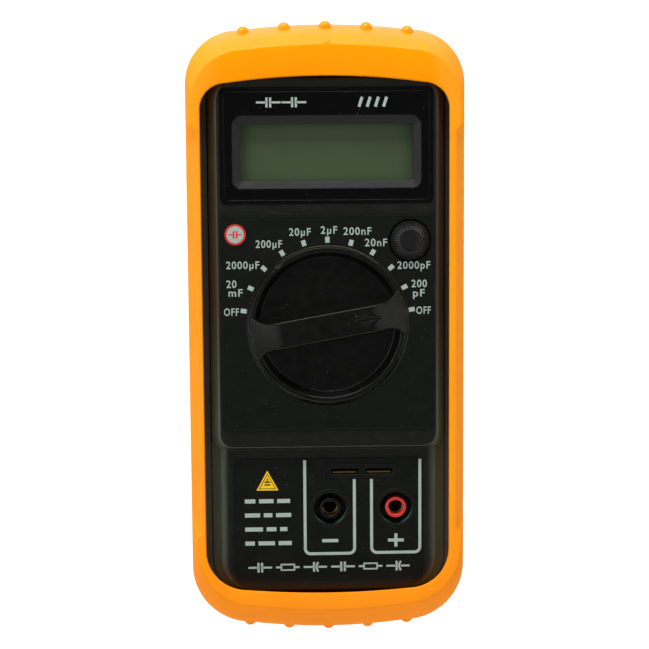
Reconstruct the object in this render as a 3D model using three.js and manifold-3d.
// Handheld component tester (capacitance meter) lying on its back in a moulded rubber boot.
// Millimetres. +Z is the way the display and dial face, +Y runs from the jacks to the display,
// +X is to the right of someone reading it. The origin is under the middle, on the rest plane.
import * as THREE from 'three';
import { mergeVertices } from 'three/addons/utils/BufferGeometryUtils.js';
import Module from 'manifold-3d';

const wasm = await Module();
wasm.setup();

// ---------------------------------------------------------------- driving dimensions
const clearance = 0.3;            // between pieces that meet

// front panels, from the display end to the jack end
const panelWidth = 62.4;
const displayPanelHeight = 33.6;
const panelGap = 3.3;
const dialPanelHeight = 64.9;
const stepLength = 8.9;           // dial panel to jack panel, over the step
const jackPanelWidth = 57.3;
const jackPanelHeight = 37.6;
const panelMargin = 1.1;          // raised face beyond the panels at the sides
const labelThickness = 0.3;
const topRim = 7.9;               // case beyond the display panel
const bottomRim = 6.8;            // case beyond the jack panel
const shoulderWidth = 6.2;        // case beyond the panels at each side
const shoulderDrop = 5.2;         // raised face down to the case joint
const lowerFaceDrop = 3;          // jack face below the dial face
const caseDepth = 32.7;
const caseWall = 1.9;
const faceWall = 2.3;

// boot
const bootSideWall = 4.3;
const bootTopWall = 11.1;
const bootBottomWall = 10.1;
const bootFloor = 3;
const lipRise = 2;                // lip above the dial face
const lipOverlap = 1.4;           // lip over the case rim at the sides
const bootTopLip = 4.4;           // lip over the case at the display end
const bootBottomLip = 4.4;
const endBow = 1.6;               // how far the ends bow out
const bumpRadius = 2;
const bumpPitch = 12.2;
const bumpCount = 5;
const bumpRows = [                // per end: centre's height, and how deep it sits in the wall
  { end: 1, height: 27.5, depth: 1.2 },
  { end: -1, height: 23, depth: 0.8 },
];

// display
const lcdViewWidth = 52;
const lcdViewHeight = 17.9;
const lcdFromPanelBottom = 5.8;
const bezelSlope = 2;             // bezel opening wider than the view at the face
const lensThickness = 0.8;
const glassThickness = 2.2;
const glassBorder = 1.4;

// selector
const knobRadius = 23.2;
const knobRise = 6;               // bar top above the dial face
const knobRimRise = 1;
const knobDish = 7.8;             // depth of the finger hollows below the bar top
const barWidth = 7.9;
const barDraft = 1.3;
const restAngle = 10;             // degrees, bar pointing at the first OFF mark
const detentStep = 16;            // degrees between positions
const positions = 11;
const rotorRadius = 25.2;
const rotorThickness = 3.6;
const hubRadius = 5;
const ballRadius = 1.2;
const notchRadius = 1;
const springWire = 0.25;

// zero adjuster
const adjusterRadius = 6.05;
const adjusterRise = 2.4;
const adjusterInset = 6.7;        // centre in from the dial panel's side edge
const adjusterDrop = 7.9;         // centre down from the dial panel's top edge
const adjusterShaft = 2;
const flutes = 36;

// jacks and lead socket
const jackPitch = 20;
const jackEdge = 8.3;             // positive jack in from the jack panel's right edge
const jackFromBottom = 22.1;      // jacks up from the jack panel's bottom edge
const jackWell = 4.95;
const jackTube = 3.19;
const jackBore = 2.24;
const barrelRadius = 2.75;
const barrelBore = 2.05;
const barrelLength = 15;
const socketWidth = 21.4;
const socketHeight = 5.7;
const socketAboveJacks = 11.4;
const slotLength = 8;
const slotWidth = 1.8;
const slotPitch = 10.3;

// board, battery and fixings
const boardThickness = 1.6;
const boardBelowFace = 9.1;
const batteryLength = 46.5;
const batteryWidth = 26.5;
const batteryDepth = 17.5;
const terminalHeight = 2;
const doorTab = 8.1;
const doorTabWidth = 12;
const screwHead = 2.9;
const screwHeadHeight = 2;
const screwShank = 1.4;
const caseScrewLength = 21;
const doorScrewLength = 8;
const screwHole = 1.7;
const boardScrewHead = 2.2;
const boardScrewHeadHeight = 1.3;
const boardScrewShank = 1;
const boardScrewLength = 5.2;

// tilt stand
const standWidth = 46;
const standLength = 70;
const standThickness = 2.2;
const standPin = 0.7;
const standPinLength = 2;

// ---------------------------------------------------------------- worked-out places
const caseWidth = panelWidth + 2 * shoulderWidth;
const caseLength = topRim + displayPanelHeight + panelGap + dialPanelHeight + stepLength
  + jackPanelHeight + bottomRim;
const bootWidth = caseWidth + 2 * (bootSideWall + clearance);
const bootLength = caseLength + bootTopWall + bootBottomWall + 2 * clearance;

const caseBack = bootFloor + clearance;
const faceZ = caseBack + caseDepth;
const lowerFaceZ = faceZ - lowerFaceDrop;
const rimZ = faceZ - shoulderDrop;
const bootDepth = faceZ + lipRise;
const caseFloor = caseBack + caseWall;

const caseTop = bootLength / 2 - bootTopWall - clearance;
const caseBottom = caseTop - caseLength;
const displayTop = caseTop - topRim;
const displayBottom = displayTop - displayPanelHeight;
const dialTop = displayBottom - panelGap;
const dialBottom = dialTop - dialPanelHeight;
const jackPanelTop = dialBottom - stepLength;
const jackPanelBottom = jackPanelTop - jackPanelHeight;
const dialY = (dialTop + dialBottom) / 2 - 0.4;

const boardTop = faceZ - boardBelowFace;
const boardBottom = boardTop - boardThickness;
const boardHalfWidth = caseWidth / 2 - caseWall - 4.5;
const boardEnds = { top: displayTop - 6, bottom: jackPanelBottom + 13 };

const lcdY = displayBottom + lcdFromPanelBottom + lcdViewHeight / 2;
const lensTop = faceZ - 3.1;
const glassTop = lensTop - lensThickness - clearance - 0.2;
const glassHalf = { x: lcdViewWidth / 2 + glassBorder, y: lcdViewHeight / 2 + glassBorder };
const holderTop = lensTop - lensThickness - clearance;
const ledge = 1;                  // how far the display glass sits on its holder

const knobBase = faceZ - 3.1;
const rotorTop = knobBase - clearance;
const rotorBottom = rotorTop - rotorThickness;
const rotorMid = (rotorTop + rotorBottom) / 2;
const dialHole = knobRadius + 2 * clearance;
const detentWall = { inner: rotorRadius + 5 * clearance, outer: rotorRadius + 3.2 };
const ballPlace = rotorRadius - 0.2;
const springFloor = ballPlace - 6;

const adjuster = { x: panelWidth / 2 - adjusterInset, y: dialTop - adjusterDrop };
const adjusterHole = adjusterRadius + clearance;
const adjusterBodyTop = boardTop + 4.2;

const jackY = jackPanelBottom + jackFromBottom;
const jackX = [jackPanelWidth / 2 - jackEdge - jackPitch, jackPanelWidth / 2 - jackEdge];
const socketPlace = { x: (jackX[0] + jackX[1]) / 2 - 0.3, y: jackY + socketAboveJacks };
const socketTop = lowerFaceZ + labelThickness + 0.5;

const batteryBase = caseFloor + clearance;
const batteryY = caseTop - caseWall - 2 - batteryWidth / 2;
const batteryEnd = batteryLength / 2 - 2.8;          // terminal end, to the right
const doorBottom = batteryY - batteryWidth / 2;
const doorTop = batteryY + batteryWidth / 2 + 0.8;
const doorHalfWidth = batteryLength / 2 + 3.4;
const doorScrewY = doorBottom - doorTab + 3.4;

const caseScrews = [1, -1].flatMap((side) => [
  { x: side * (caseWidth / 2 - 10.4), y: dialTop + 2.8, roof: faceZ - faceWall },
  { x: side * (caseWidth / 2 - 11.4), y: caseBottom + 13.5, roof: lowerFaceZ - faceWall },
]);
const boardScrews = [1, -1].flatMap((side) => [
  { x: side * 14, y: dialTop - 0.4 },
  { x: side * 27, y: dialBottom + 1.5 - 2.6 },
]);

const hingeY = dialY + 21;
const hingeZ = caseBack - clearance - standThickness / 2 - 0.1;
const windowHalfWidth = doorHalfWidth + 3.2;

// ---------------------------------------------------------------- shape helpers
const degrees = Math.PI / 180;

function solid(geometry) {
  const bare = geometry.clone();
  bare.deleteAttribute('normal');
  bare.deleteAttribute('uv');
  const merged = mergeVertices(bare, 1e-4);
  return new wasm.Manifold(new wasm.Mesh({
    numProp: 3,
    vertProperties: Float32Array.from(merged.attributes.position.array),
    triVerts: Uint32Array.from(merged.index.array),
  }));
}

function geometryOf(body) {
  const mesh = body.getMesh();
  const geometry = new THREE.BufferGeometry();
  geometry.setAttribute('position', new THREE.BufferAttribute(mesh.vertProperties, 3));
  geometry.setIndex(new THREE.BufferAttribute(mesh.triVerts, 1));
  geometry.computeVertexNormals();
  return geometry;
}

const join = (first, ...rest) => rest.reduce((whole, piece) => whole.add(piece), first);
const cut = (first, ...rest) => rest.reduce((whole, piece) => whole.subtract(piece), first);

// Outline with four rounded corners, counter-clockwise; the two ends may bow outwards.
function outline({ half, top, bottom, topRadius, bottomRadius, bow = 0, steps = 5 }) {
  const points = [];
  const corner = (x, y, radius, from) => {
    for (let i = 0; i <= steps; i++) {
      const angle = (from + 90 * i / steps) * degrees;
      points.push([x + radius * Math.cos(angle), y + radius * Math.sin(angle)]);
    }
  };
  const bowed = (reach, edge, direction) => {
    const count = bow > 0 ? 6 : 1;
    for (let i = 1; i < count; i++) {
      const along = 1 - 2 * i / count;
      points.push([direction * reach * along, edge + direction * bow * (1 - along * along)]);
    }
  };
  corner(half - topRadius, top - bow - topRadius, topRadius, 0);
  bowed(half - topRadius, top - bow, 1);
  corner(topRadius - half, top - bow - topRadius, topRadius, 90);
  corner(bottomRadius - half, bottom + bow + bottomRadius, bottomRadius, 180);
  bowed(half - bottomRadius, bottom + bow, -1);
  corner(half - bottomRadius, bottom + bow + bottomRadius, bottomRadius, 270);
  return points;
}

// Solid between stacked convex outlines that have the same number of points.
function loft(rings) {
  const count = rings[0].points.length;
  const positions = rings.flatMap(({ z, points }) => points.flatMap(([x, y]) => [x, y, z]));
  const index = [];
  for (let level = 0; level + 1 < rings.length; level++) {
    for (let i = 0; i < count; i++) {
      const a = level * count + i;
      const b = level * count + (i + 1) % count;
      index.push(a, b, b + count, a, b + count, a + count);
    }
  }
  const last = (rings.length - 1) * count;
  for (let i = 1; i + 1 < count; i++) {
    index.push(0, i + 1, i, last, last + i, last + i + 1);
  }
  const geometry = new THREE.BufferGeometry();
  geometry.setAttribute('position', new THREE.Float32BufferAttribute(positions, 3));
  geometry.setIndex(index);
  return solid(geometry);
}

const slab = (points, low, high) => loft([{ z: low, points }, { z: high, points }]);

function roundedSlab(half, bottom, top, radius, low, high) {
  return slab(outline({ half, top, bottom, topRadius: radius, bottomRadius: radius, steps: 3 }), low, high);
}

function block(x0, x1, y0, y1, z0, z1) {
  const box = new THREE.BoxGeometry(x1 - x0, y1 - y0, z1 - z0);
  return solid(box.translate((x0 + x1) / 2, (y0 + y1) / 2, (z0 + z1) / 2));
}

function rod(x, y, radius, low, high, sides = 24) {
  const cylinder = new THREE.CylinderGeometry(radius, radius, high - low, sides).rotateX(Math.PI / 2);
  return solid(cylinder.translate(x, y, (low + high) / 2));
}

function crossRod(x0, x1, y, z, radius, sides = 16) {
  const cylinder = new THREE.CylinderGeometry(radius, radius, x1 - x0, sides).rotateZ(Math.PI / 2);
  return solid(cylinder.translate((x0 + x1) / 2, y, z));
}

// Body of revolution about Z from [radius, z] points, listed from the lower axis point upwards.
function turned(profile, sides = 32) {
  const points = profile.map(([radius, z]) => new THREE.Vector2(radius, z));
  return solid(new THREE.LatheGeometry(points, sides).rotateX(Math.PI / 2));
}

function extruded(points, depth) {
  const shape = new THREE.Shape(points.map(([x, y]) => new THREE.Vector2(x, y)));
  return new THREE.ExtrudeGeometry(shape, { depth, bevelEnabled: false });
}

function strand(points, radius, steps, sides = 8) {
  const section = new THREE.Shape();
  section.absarc(0, 0, radius, 0, 2 * Math.PI);
  const path = new THREE.CatmullRomCurve3(points.map((point) => new THREE.Vector3(...point)));
  const options = { steps, extrudePath: path, bevelEnabled: false, curveSegments: sides / 2 };
  return solid(new THREE.ExtrudeGeometry(section, options));
}

// Screw standing on its head at the origin, driven upwards, with a cross recess.
function screw(head, headHeight, shank, length) {
  const body = turned([[0, 0], [head - 0.4, 0], [head, 0.4], [head, headHeight], [shank, headHeight],
    [shank, length - shank], [0, length]], 16);
  const arm = head * 0.6;
  const depth = headHeight * 0.6;
  return cut(body, block(-arm, arm, -0.35, 0.35, -0.1, depth), block(-0.35, 0.35, -arm, arm, -0.1, depth));
}

// ---------------------------------------------------------------- boot
function bootRing(z, side, topEnd, bottomEnd) {
  const bootTop = bootLength / 2;
  return { z, points: outline({ half: bootWidth / 2 - side, top: bootTop - topEnd,
    bottom: bottomEnd - bootTop, topRadius: 16 - side / 2, bottomRadius: 18 - side / 2,
    bow: endBow, steps: 7 }) };
}

function rubberBoot() {
  const belly = bootDepth * 0.53;
  const shell = loft([
    bootRing(0, 4.6, 6.6, 7.4),
    bootRing(bootFloor, 2.4, 3.6, 4.2),
    bootRing(bootFloor * 2.6, 0.7, 1.1, 1.4),
    bootRing(belly - 6, 0, 0, 0),
    bootRing(belly + 3, 0, 0, 0),
    bootRing(bootDepth - 10.4, 0.5, 1, 1.4),
    bootRing(bootDepth - 5.4, 1.9, 3.1, 4.5),
    bootRing(bootDepth - 1.4, 3.5, 5.4, 7.6),
    bootRing(bootDepth, 4.2, 6.8, 9.2),
  ]);
  const cavity = slab(caseOutline(clearance), bootFloor, rimZ + clearance);
  const mouth = slab(outline({ half: caseWidth / 2 - lipOverlap, top: caseTop - bootTopLip,
    bottom: caseBottom + bootBottomLip, topRadius: 7.5, bottomRadius: 12, bow: endBow / 2, steps: 5 }),
  rimZ, bootDepth + 1);
  const window = roundedSlab(windowHalfWidth, hingeY - standLength - 6, doorTop + 2, 6, -1, bootFloor + 1);
  return cut(join(shell, ...bumps()), cavity, mouth, window, faceBody(clearance));
}

// Round bumps along both ends, each a ball sunk into the bowed wall.
function bumps() {
  const reach = bootWidth / 2 - 17;
  return bumpRows.flatMap(({ end, height, depth }) => Array.from({ length: bumpCount }, (_, i) => {
    const x = (i - (bumpCount - 1) / 2) * bumpPitch;
    const wall = bootLength / 2 - endBow * (x / reach) ** 2;
    return solid(new THREE.SphereGeometry(bumpRadius, 14, 10).translate(x, end * (wall - depth), height));
  }));
}

// ---------------------------------------------------------------- cases
function caseOutline(grow, steps = 5) {
  return outline({ half: caseWidth / 2 + grow, top: caseTop + grow, bottom: caseBottom - grow,
    topRadius: 9 + grow, bottomRadius: 13 + grow, steps });
}

function doorPlan(grow, low, high) {
  const panel = block(-doorHalfWidth - grow, doorHalfWidth + grow, doorBottom - grow, doorTop + grow, low, high);
  const tab = block(-doorTabWidth / 2 - grow, doorTabWidth / 2 + grow, doorBottom - doorTab - grow,
    doorBottom + 1, low, high);
  return join(panel, tab);
}

function rearCase() {
  const shell = cut(
    loft([{ z: caseBack, points: caseOutline(-1.4) }, { z: caseBack + 1.8, points: caseOutline(0) },
      { z: rimZ, points: caseOutline(0) }]),
    slab(caseOutline(-caseWall), caseFloor, rimZ + 1),
  );
  const wallY = doorBottom - clearance;
  const partition = block(-doorHalfWidth - 2, doorHalfWidth + 2, wallY - 2, wallY, caseFloor - 0.5,
    batteryBase + batteryDepth * 0.8);
  const anchor = block(-5, 5, doorScrewY - 4, wallY - 1, caseFloor - 0.5, caseFloor + 9);
  const ends = [-1, 1].map((side) => {
    const inside = side < 0 ? batteryEnd - batteryLength - clearance : batteryEnd + 5.4;
    const x0 = side < 0 ? inside - 1.6 : inside;
    return block(x0, x0 + 1.6, batteryY - 9, batteryY + 9, caseFloor - 0.5, batteryBase + 10);
  });
  const posts = caseScrews.map(({ x, y }) => rod(x, y, 4.4, caseFloor - 0.5, boardBottom - 1, 20));
  const lugs = [-1, 1].map((side) => {
    const near = standWidth / 2 + clearance;
    const [x0, x1] = side > 0 ? [near, near + 3] : [-near - 3, -near];
    return block(x0, x1, hingeY - 2.4, hingeY + 2.4, bootFloor * 0.1, caseBack + 0.5);
  });
  const pinHole = crossRod(-standWidth / 2 - standPinLength - 0.5, standWidth / 2 + standPinLength + 0.5,
    hingeY, hingeZ, standPin + 0.25);
  const lugHoles = pinHole.intersect(join(...lugs));
  const screwWells = caseScrews.flatMap(({ x, y }) => [
    rod(x, y, screwHead + clearance, caseBack - 1, caseBack + 3.2, 20),
    rod(x, y, screwHole, caseBack, boardBottom, 16),
  ]);
  return cut(join(shell, partition, anchor, ...ends, ...posts, ...lugs), lugHoles, ...screwWells,
    doorPlan(clearance, caseBack - 1, caseFloor + clearance),
    rod(0, doorScrewY, screwHole, caseFloor - 1, caseFloor + 7.5, 16));
}

function raisedFace(z, grow) {
  return { z, points: outline({ half: panelWidth / 2 + panelMargin + grow, top: displayTop + 2.4 + grow,
    bottom: dialBottom - 4.5 - grow, topRadius: 6, bottomRadius: 4 }) };
}

// Outer body of the front case; the boot is hollowed by the same body grown by the clearance.
function faceBody(grow) {
  const skirt = caseOutline(grow - caseWall - clearance);
  const lower = { z: lowerFaceZ + grow, points: outline({ half: jackPanelWidth / 2 + panelMargin + grow,
    top: dialTop, bottom: jackPanelBottom - 2 - grow, topRadius: 9, bottomRadius: 9 }) };
  return join(
    slab(skirt, rimZ - 4.5, rimZ),
    loft([{ z: rimZ, points: skirt }, lower]),
    loft([raisedFace(rimZ, 2.9 + grow), raisedFace(faceZ + grow, grow)]),
  );
}

function frontCase() {
  const skirtInner = caseOutline(-caseWall - clearance - 1.8);
  const body = faceBody(0);
  const hollow = join(
    slab(skirtInner, rimZ - 5, lowerFaceZ - faceWall - 0.2),
    loft([raisedFace(rimZ - 1, 0.4), raisedFace(faceZ - faceWall, -faceWall)]),
  );
  const ring = cut(rod(0, dialY, detentWall.outer, rotorBottom, faceZ - faceWall + 0.2, 48),
    rod(0, dialY, detentWall.inner, rotorBottom - 1, rotorTop + clearance, 44), ...notches());
  const bosses = caseScrews.map(({ x, y, roof }) => rod(x, y, 3, boardBottom - 0.4, roof + 0.3, 16));
  const posts = boardScrews.map(({ x, y }) => rod(x, y, 2.6, boardTop + clearance, faceZ - faceWall + 0.3, 14));
  const wells = jackX.map((x) => rod(x, jackY, jackWell + 1.4, boardTop + 3, lowerFaceZ - 1, 28));
  const jackHoles = jackX.map((x) => rod(x, jackY, jackWell, boardTop, lowerFaceZ + 1, 28));
  const holes = [
    ...bosses.map((_, i) => rod(caseScrews[i].x, caseScrews[i].y, screwHole, boardBottom - 1, rimZ - 0.5, 14)),
    ...posts.map((_, i) => rod(boardScrews[i].x, boardScrews[i].y, boardScrewShank + 0.25, boardTop, rimZ, 12)),
  ];
  const shaftCollar = rod(adjuster.x, adjuster.y, adjusterHole + 1.2, faceZ - 4.5, faceZ - 1, 28);
  return cut(join(cut(body, hollow), ring, shaftCollar, ...bosses, ...posts, ...wells),
    ...holes, ...jackHoles,
    rod(0, dialY, dialHole, faceZ - 6, faceZ + 1, 56),
    rod(adjuster.x, adjuster.y, adjusterHole, faceZ - 6, faceZ + 1, 32),
    roundedSlab(panelWidth / 2 + clearance, displayBottom - clearance, displayTop + clearance, 1.8,
      faceZ - 1.2 - clearance, faceZ + 1),
    bezelBlock(clearance, faceZ - 6, faceZ),
    block(socketPlace.x - socketWidth / 2 - clearance, socketPlace.x + socketWidth / 2 + clearance,
      socketPlace.y - socketHeight / 2 - clearance, socketPlace.y + socketHeight / 2 + clearance,
      boardTop, faceZ));
}

function notches() {
  const angles = [];
  for (let i = 0; i < positions; i++) {
    angles.push(restAngle + 90 + i * detentStep, restAngle + 270 + i * detentStep);
  }
  return angles.map((angle) => rod(detentWall.inner * Math.cos(angle * degrees),
    dialY + detentWall.inner * Math.sin(angle * degrees), notchRadius, rotorBottom - 1, rotorTop, 8));
}

// ---------------------------------------------------------------- display
function bezelBlock(grow, low, high) {
  const half = { x: lcdViewWidth / 2 + bezelSlope + 0.4 + grow, y: lcdViewHeight / 2 + bezelSlope + 0.4 + grow };
  return block(-half.x, half.x, lcdY - half.y, lcdY + half.y, low, high);
}

function displayPanel() {
  const plate = roundedSlab(panelWidth / 2, displayBottom, displayTop, 1.5, faceZ - 1.2, faceZ + 0.2);
  const viewRing = (z, grow) => ({ z, points: outline({ half: lcdViewWidth / 2 + grow,
    top: lcdY + lcdViewHeight / 2 + grow, bottom: lcdY - lcdViewHeight / 2 - grow,
    topRadius: 1 + grow / 2, bottomRadius: 1 + grow / 2, steps: 3 }) });
  const funnel = loft([viewRing(lensTop, 0), viewRing(faceZ + 0.3, bezelSlope)]);
  return cut(join(plate, bezelBlock(0, lensTop + clearance, faceZ - 0.5)), funnel);
}

function displayLens() {
  return block(-glassHalf.x, glassHalf.x, lcdY - glassHalf.y, lcdY + glassHalf.y, lensTop - lensThickness, lensTop);
}

function displayGlass() {
  return block(-glassHalf.x, glassHalf.x, lcdY - glassHalf.y, lcdY + glassHalf.y,
    glassTop - glassThickness, glassTop);
}

function displayHolder() {
  const base = boardTop + clearance;
  const wall = 1.3;
  const x = glassHalf.x + clearance;
  const y = glassHalf.y + clearance;
  return cut(
    block(-x - wall, x + wall, lcdY - y - wall, lcdY + y + wall, base, holderTop),
    block(-x, x, lcdY - y, lcdY + y, glassTop - glassThickness - clearance, holderTop + 1),
    block(-x + ledge, x - ledge, lcdY - y + ledge, lcdY + y - ledge, base - 1, holderTop),
  );
}

function connectorStrip() {
  const low = lcdY - glassHalf.y + ledge;
  return block(-glassHalf.x + 2, glassHalf.x - 2, low, low + 2, boardTop + clearance,
    glassTop - glassThickness - clearance);
}

// ---------------------------------------------------------------- panel labels
function dialLabel() {
  return cut(roundedSlab(panelWidth / 2 + 0.4, dialBottom, dialTop, 1.5, faceZ, faceZ + labelThickness),
    rod(0, dialY, dialHole + 0.2, faceZ - 1, faceZ + 1, 56),
    rod(adjuster.x, adjuster.y, adjusterHole + 0.2, faceZ - 1, faceZ + 1, 32));
}

function jackLabel() {
  const plate = roundedSlab(jackPanelWidth / 2, jackPanelBottom, jackPanelTop, 2.4, lowerFaceZ,
    lowerFaceZ + labelThickness);
  const rings = jackX.map((x) => rod(x, jackY, 6.2, lowerFaceZ, lowerFaceZ + labelThickness + 0.4, 32));
  const wells = jackX.map((x) => rod(x, jackY, jackWell + 0.1, lowerFaceZ - 1, lowerFaceZ + 2, 28));
  const socket = block(socketPlace.x - socketWidth / 2 - clearance, socketPlace.x + socketWidth / 2 + clearance,
    socketPlace.y - socketHeight / 2 - clearance, socketPlace.y + socketHeight / 2 + clearance,
    lowerFaceZ - 1, lowerFaceZ + 1);
  return cut(join(plate, ...rings), ...wells, socket);
}

// ---------------------------------------------------------------- selector, made about its own axis
function rangeKnob() {
  const dishFloor = faceZ + knobRise - knobDish;
  const rim = faceZ + knobRimRise;
  const top = faceZ + knobRise;
  const dish = turned([[0, knobBase], [knobRadius, knobBase], [knobRadius, rim - 0.5], [knobRadius - 0.5, rim],
    [knobRadius - 1.3, rim], [knobRadius - 2.3, dishFloor], [0, dishFloor]], 56);
  const flat = knobRadius * 0.66;
  const reach = knobRadius - 0.4;
  const side = [[-reach, knobBase + 1], [reach, knobBase + 1], [reach, rim - 0.4], [reach - 1.4, rim + 0.9],
    [flat, top], [-flat, top], [1.4 - reach, rim + 0.9], [-reach, rim - 0.4]];
  const length = solid(extruded(side, barWidth + 2 * barDraft + 2).rotateX(Math.PI / 2)
    .translate(0, barWidth / 2 + barDraft + 1, 0));
  const taper = loft([[dishFloor - 2, barDraft + 0.3], [top, 0]].map(([z, grow]) => ({ z, points: [
    [knobRadius, -barWidth / 2 - grow], [knobRadius, barWidth / 2 + grow],
    [-knobRadius, barWidth / 2 + grow], [-knobRadius, -barWidth / 2 - grow]] })));
  const stem = rod(0, 0, hubRadius, rotorBottom, knobBase + 0.5, 24);
  const arrow = extruded([[5, -0.4], [9.6, -0.4], [9.6, -1.6], [13.4, 0], [9.6, 1.6], [9.6, 0.4], [5, 0.4]], 1);
  return cut(join(dish, length.intersect(taper), stem), solid(arrow.translate(0, 0, top - 0.4)));
}

function rotor() {
  const disc = turned([[hubRadius + clearance, rotorBottom], [rotorRadius, rotorBottom],
    [rotorRadius, rotorTop], [hubRadius + clearance, rotorTop], [hubRadius + clearance, rotorBottom]], 48);
  const bores = [1, -1].map((side) => {
    const depth = rotorRadius + 1 - springFloor;
    const bore = new THREE.CylinderGeometry(ballRadius + 0.25, ballRadius + 0.25, depth, 16);
    return solid(bore.translate(0, side * (springFloor + depth / 2), rotorMid));
  });
  return cut(disc, ...bores);
}

function detentBall() {
  return solid(new THREE.SphereGeometry(ballRadius, 12, 8));
}

// Coil spring along +Y, its inner end at the origin.
function detentSpring() {
  const length = ballPlace - ballRadius - springFloor - 2 * clearance;
  const turns = 3.5;
  const coil = [];
  for (let i = 0; i <= turns * 8; i++) {
    const angle = i / 8 * 2 * Math.PI;
    coil.push([0.85 * Math.cos(angle), springWire + (length - 2 * springWire) * i / (turns * 8),
      0.85 * Math.sin(angle)]);
  }
  return strand(coil, springWire, turns * 8, 6);
}

// Sprung wiper that bridges two tracks on the board, bowed towards the board.
function wiper() {
  const low = boardTop + clearance;
  const high = rotorBottom - clearance;
  const thickness = 0.4;
  const bend = [[-4, high], [-2, high], [0, low + thickness], [2, high], [4, high], [4, high - thickness],
    [2.2, high - thickness], [0.4, low], [-0.4, low], [-2.2, high - thickness], [-4, high - thickness]];
  return solid(extruded(bend.reverse(), 2.4).rotateX(Math.PI / 2).translate(0, 1.2, 0));
}

// ---------------------------------------------------------------- zero adjuster, about its own axis
function zeroKnob() {
  const base = faceZ - 2;
  const top = faceZ + adjusterRise;
  const points = [];
  const fluted = (z, radius) => {
    const ring = [];
    for (let i = 0; i < flutes * 2; i++) {
      const angle = i * Math.PI / flutes;
      const reach = radius - (i % 2) * 0.25;
      ring.push([reach * Math.cos(angle), reach * Math.sin(angle)]);
    }
    points.push({ z, points: ring });
  };
  fluted(base, adjusterRadius);
  fluted(faceZ + 0.6, adjusterRadius);
  fluted(top - 0.4, adjusterRadius * 0.68);
  const dome = turned([[0, base + 1], [3, base + 1], [3, top - 0.2], [2, top], [0, top]], 24);
  return join(loft(points), dome, rod(0, 0, adjusterShaft, adjusterBodyTop - 2, base + 0.5, 16));
}

function adjusterBody() {
  const base = boardTop + clearance;
  return cut(block(-4.4, 4.4, -4.4, 4.4, base, adjusterBodyTop),
    rod(0, 0, adjusterShaft + clearance, adjusterBodyTop - 2 - clearance, adjusterBodyTop + 1, 16));
}

// ---------------------------------------------------------------- jacks and lead socket
function jackInsulator() {
  const base = boardTop + clearance;
  const step = lowerFaceZ - 3;
  return turned([[barrelRadius + clearance / 2, base], [jackWell - 0.6, base], [jackWell - 0.6, base + 1.2],
    [jackTube, base + 1.2], [jackTube, lowerFaceZ - 0.5], [jackTube - 0.25, lowerFaceZ - 0.2],
    [jackBore, lowerFaceZ - 0.2], [jackBore, step], [barrelRadius + clearance / 2, step],
    [barrelRadius + clearance / 2, base]], 24);
}

function jackBarrel() {
  const top = lowerFaceZ - 3 - clearance;
  const bottom = top - barrelLength;
  return turned([[0, bottom], [barrelRadius, bottom], [barrelRadius, top], [barrelBore, top],
    [barrelBore, bottom + 1], [0, bottom + 1]], 24);
}

function leadSocket() {
  const base = boardTop + clearance;
  const slots = [-1, 1].map((side) => contactSlot(side * slotPitch / 2, base + 1.2, socketTop + 1));
  return cut(block(-socketWidth / 2, socketWidth / 2, -socketHeight / 2, socketHeight / 2, base, socketTop),
    ...slots);
}

function contactSlot(x, low, high) {
  return block(x - slotLength / 2, x + slotLength / 2, -slotWidth / 2, slotWidth / 2, low, high);
}

function leadContact() {
  const low = boardTop + clearance + 1.2 + clearance;
  return block(-slotLength / 2 + clearance, slotLength / 2 - clearance, -0.6, -0.2, low, socketTop - 1.6);
}

// ---------------------------------------------------------------- board and what it carries
function mainBoard() {
  const plate = roundedSlab(boardHalfWidth, boardEnds.bottom, boardEnds.top, 2, boardBottom, boardTop);
  const z0 = boardBottom - 1;
  const z1 = boardTop + 1;
  return cut(plate,
    ...caseScrews.map(({ x, y }) => rod(x, y, 3 + clearance, z0, z1, 14)),
    ...boardScrews.map(({ x, y }) => rod(x, y, boardScrewShank + 0.2, z0, z1, 8)),
    ...jackX.map((x) => rod(x, jackY, barrelRadius + 0.4, z0, z1, 16)),
    rod(0, dialY, hubRadius + 1, z0, z1, 24));
}

// Dual-in-line chip under the board: a body and two rows of legs.
function chip(length, pins) {
  const body = block(-length / 2, length / 2, -6.7, 6.7, -4.6, -0.9);
  const pitch = length / (pins / 2);
  const legs = [];
  for (let i = 0; i < pins / 2; i++) {
    const x = -length / 2 + pitch * (i + 0.5);
    for (const side of [-1, 1]) {
      const [y0, y1] = side > 0 ? [6.5, 7.5] : [-7.5, -6.5];
      legs.push(block(x - 0.4, x + 0.4, y0, y1, -2.8, 0));
    }
  }
  return join(body, ...legs);
}

function filmCapacitor() {
  return block(-6.5, 6.5, -2.6, 2.6, -9, 0);
}

function canCapacitor() {
  return turned([[0, -11], [2.4, -11], [2.5, -10.8], [2.5, -1.4], [2.25, -1], [2.5, -0.6], [2.5, 0], [0, 0]], 20);
}

function calibrationTrimmer() {
  return cut(block(-3.2, 3.2, -3.2, 3.2, -4.6, 0), block(-1.6, 1.6, -0.3, 0.3, -5, -4));
}

function fuse() {
  const end = 10;
  const half = new THREE.LatheGeometry([[0, -end], [2.6, -end], [2.6, -end + 5.5], [2.3, -end + 5.5],
    [2.3, end - 5.5], [2.6, end - 5.5], [2.6, end], [0, end]].map(([r, y]) => new THREE.Vector2(r, y)), 20);
  return solid(half.rotateZ(Math.PI / 2));
}

// Spring clip that cups one end of the fuse, hanging from the board.
function fuseClip() {
  const arms = block(-1.8, 1.8, -3.6, 3.6, -6.6, 0);
  return cut(arms, crossRod(-3, 3, 0, -4.1, 2.6 + clearance, 20), block(-3, 3, -2, 2, -7, -4));
}

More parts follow.
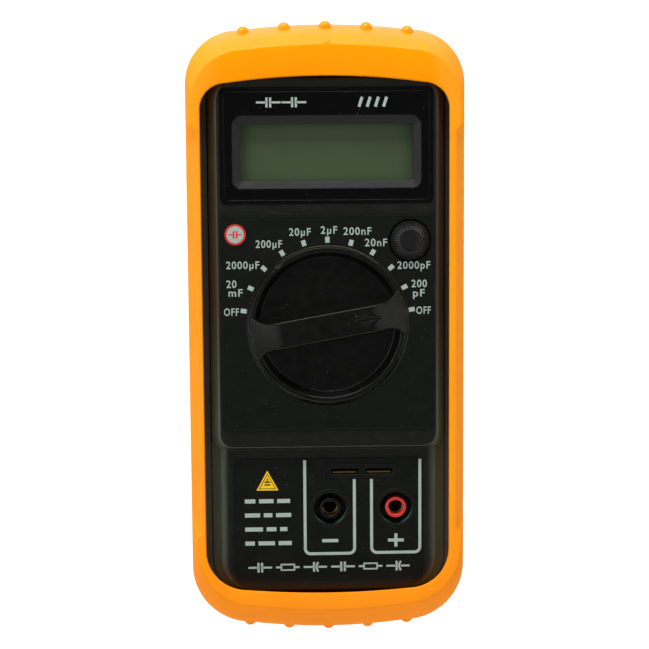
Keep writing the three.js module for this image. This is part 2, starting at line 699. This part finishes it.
// ---------------------------------------------------------------- battery
function battery() {
  const body = block(batteryEnd - batteryLength, batteryEnd, batteryY - batteryWidth / 2,
    batteryY + batteryWidth / 2, batteryBase, batteryBase + batteryDepth);
  const mid = batteryBase + batteryDepth / 2;
  const posts = [-1, 1].map((side) => crossRod(batteryEnd - 0.5, batteryEnd + terminalHeight,
    batteryY + side * 6.4, mid, side > 0 ? 2.8 : 3.6, 14));
  return join(body, ...posts);
}

function batterySnap() {
  const x0 = batteryEnd + terminalHeight + clearance;
  const mid = batteryBase + batteryDepth / 2;
  return block(x0, x0 + 2.4, batteryY - 12, batteryY + 12, mid - 5.5, mid + 5.5);
}

// Lead from the snap, up the side of the battery to the underside of the board.
function batteryWire(side) {
  const start = batteryEnd + terminalHeight + 3 * clearance + 2.4;
  const mid = batteryBase + batteryDepth / 2;
  const y = batteryY + side * 4;
  return strand([[start, y, mid + 2], [start + 2.4, y, mid + 3.4], [start + 3.4, y - 4, mid + 6.5],
    [start + 2.2, y - 9, boardBottom - 3], [start + 1.2, y - 11, boardBottom - 2 * clearance]], 0.65, 16);
}

function batteryDoor() {
  const plate = doorPlan(0, caseBack, caseFloor);
  const grips = [0, 1, 2, 3].map((i) => block(-9 + i, 9 - i, doorBottom + 6 + 2.4 * i, doorBottom + 7 + 2.4 * i,
    caseBack - 1, caseBack + 0.5));
  return cut(plate, ...grips, rod(0, doorScrewY, screwHole, caseBack - 1, caseFloor + 1, 16),
    rod(0, doorScrewY, screwHead + clearance, caseBack - 1, caseBack + 0.9, 20));
}

// ---------------------------------------------------------------- tilt stand, about its hinge axis
function tiltStand() {
  const half = standThickness / 2;
  const plate = slab(outline({ half: standWidth / 2, top: 0, bottom: -standLength, topRadius: 0.2,
    bottomRadius: 6, steps: 5 }), -half, half);
  const barrel = crossRod(-standWidth / 2, standWidth / 2, 0, 0, half, 16);
  const pins = crossRod(-standWidth / 2 - standPinLength, standWidth / 2 + standPinLength, 0, 0, standPin, 12);
  const recess = roundedSlab(standWidth / 2 - 6, -standLength + 12, -10, 4, -half - 1, -half + 0.8);
  const thumb = rod(0, -standLength - 4, 9, -half - 1, half + 1, 28);
  return cut(join(plate, barrel, pins), recess, thumb);
}

// ---------------------------------------------------------------- materials
function finish(color, roughness, metalness = 0) {
  return new THREE.MeshStandardMaterial({ color, roughness, metalness });
}

const rubber = finish(0xf59a0c, 0.55);
const caseBlack = finish(0x15171a, 0.42);
const glossBlack = finish(0x08090b, 0.12);
const labelBlack = finish(0x101214, 0.6);
const knobBlack = finish(0x121316, 0.35);
const red = finish(0xc81e1a, 0.35);
const brass = finish(0xb68d40, 0.3, 1);
const steel = finish(0xa8abad, 0.35, 1);
const boardGreen = finish(0x1f5a34, 0.5);
const lcdGreen = finish(0x7c8a72, 0.25);
const clear = finish(0xdfe6e6, 0.05);
const chipBlack = finish(0x1a1a1c, 0.5);
const cream = finish(0xcfc8b4, 0.5);
const blue = finish(0x2c5f9e, 0.4);
const batteryRed = finish(0x8c2b22, 0.4);

// ---------------------------------------------------------------- assembly
const tester = new THREE.Group();

function place(name, body, material, { x = 0, y = 0, z = 0, turn = 0 } = {}, parent = tester) {
  const mesh = new THREE.Mesh(geometryOf(body), material);
  mesh.name = name;
  mesh.position.set(x, y, z);
  mesh.rotation.z = turn;
  parent.add(mesh);
}

place('rubber_boot', rubberBoot(), rubber);
place('rear_case', rearCase(), caseBlack);
place('front_case', frontCase(), caseBlack);

place('display_panel', displayPanel(), glossBlack);
place('display_lens', displayLens(), clear);
place('display_glass', displayGlass(), lcdGreen);
place('display_holder', displayHolder(), caseBlack);
place('connector_strip', connectorStrip(), chipBlack);
place('dial_label', dialLabel(), labelBlack);
place('jack_label', jackLabel(), labelBlack);

// Selector: everything on the turning axis, at the rest position.
const selector = new THREE.Group();
selector.position.set(0, dialY, 0);
selector.rotation.z = restAngle * degrees;
tester.add(selector);
place('range_knob', rangeKnob(), knobBlack, {}, selector);
place('selector_rotor', rotor(), cream, {}, selector);
for (const [name, side] of [['a', 1], ['b', -1]]) {
  place(`detent_ball_${name}`, detentBall(), steel, { y: side * ballPlace, z: rotorMid }, selector);
  place(`detent_spring_${name}`, detentSpring(), steel, { y: side * (springFloor + clearance), z: rotorMid,
    turn: side > 0 ? 0 : Math.PI }, selector);
  place(`wiper_${name}`, wiper(), brass, { x: side * 14, turn: Math.PI / 2 }, selector);
}

place('zero_knob', zeroKnob(), knobBlack, adjuster);
place('zero_adjuster_body', adjusterBody(), blue, adjuster);

for (const [name, i, colour] of [['negative', 0, caseBlack], ['positive', 1, red]]) {
  const at = { x: jackX[i], y: jackY };
  place(`${name}_jack`, jackInsulator(), colour, at);
  place(`${name}_barrel`, jackBarrel(), brass, at);
}

place('lead_socket', leadSocket(), caseBlack, socketPlace);
for (const [name, side] of [['left', -1], ['right', 1]]) {
  place(`lead_contact_${name}`, leadContact(), brass,
    { x: socketPlace.x + side * slotPitch / 2, y: socketPlace.y });
}

place('main_board', mainBoard(), boardGreen);
const underBoard = boardBottom - clearance;
place('converter_chip', chip(30, 20), chipBlack, { x: -4, y: -4, z: underBoard });
place('timer_chip', chip(10, 8), chipBlack, { x: -18, y: -32, z: underBoard });
place('film_capacitor_a', filmCapacitor(), cream, { x: 16, y: -27, z: underBoard });
place('film_capacitor_b', filmCapacitor(), cream, { x: 0, y: -27, z: underBoard });
place('can_capacitor', canCapacitor(), blue, { x: 24, y: -12, z: underBoard });
place('calibration_trimmer_a', calibrationTrimmer(), blue, { x: -16, y: 20, z: underBoard });
place('calibration_trimmer_b', calibrationTrimmer(), blue, { x: -4, y: 20, z: underBoard });

const fuseAt = { x: jackX[0] - 16.35, y: jackY + 2 };
place('fuse', fuse(), steel, { ...fuseAt, z: underBoard - 4.1 });
for (const [name, side] of [['left', -1], ['right', 1]]) {
  place(`fuse_clip_${name}`, fuseClip(), brass, { x: fuseAt.x + side * 7.2, y: fuseAt.y, z: underBoard });
}

place('battery', battery(), batteryRed);
place('battery_snap', batterySnap(), chipBlack);
place('battery_wire_red', batteryWire(1), red);
place('battery_wire_black', batteryWire(-1), chipBlack);

caseScrews.forEach((at, i) => place(`case_screw_${i + 1}`,
  screw(screwHead, screwHeadHeight, screwShank, caseScrewLength), steel, { ...at, z: caseBack + 0.9 }));
boardScrews.forEach((at, i) => place(`board_screw_${i + 1}`,
  screw(boardScrewHead, boardScrewHeadHeight, boardScrewShank, boardScrewLength), steel,
  { ...at, z: boardBottom - clearance - boardScrewHeadHeight }));

place('battery_door', batteryDoor(), caseBlack);
place('door_screw', screw(screwHead, 1.5, screwShank, doorScrewLength), steel,
  { y: doorScrewY, z: caseBack - 0.9 });
place('tilt_stand', tiltStand(), caseBlack, { y: hingeY, z: hingeZ });

export default tester;
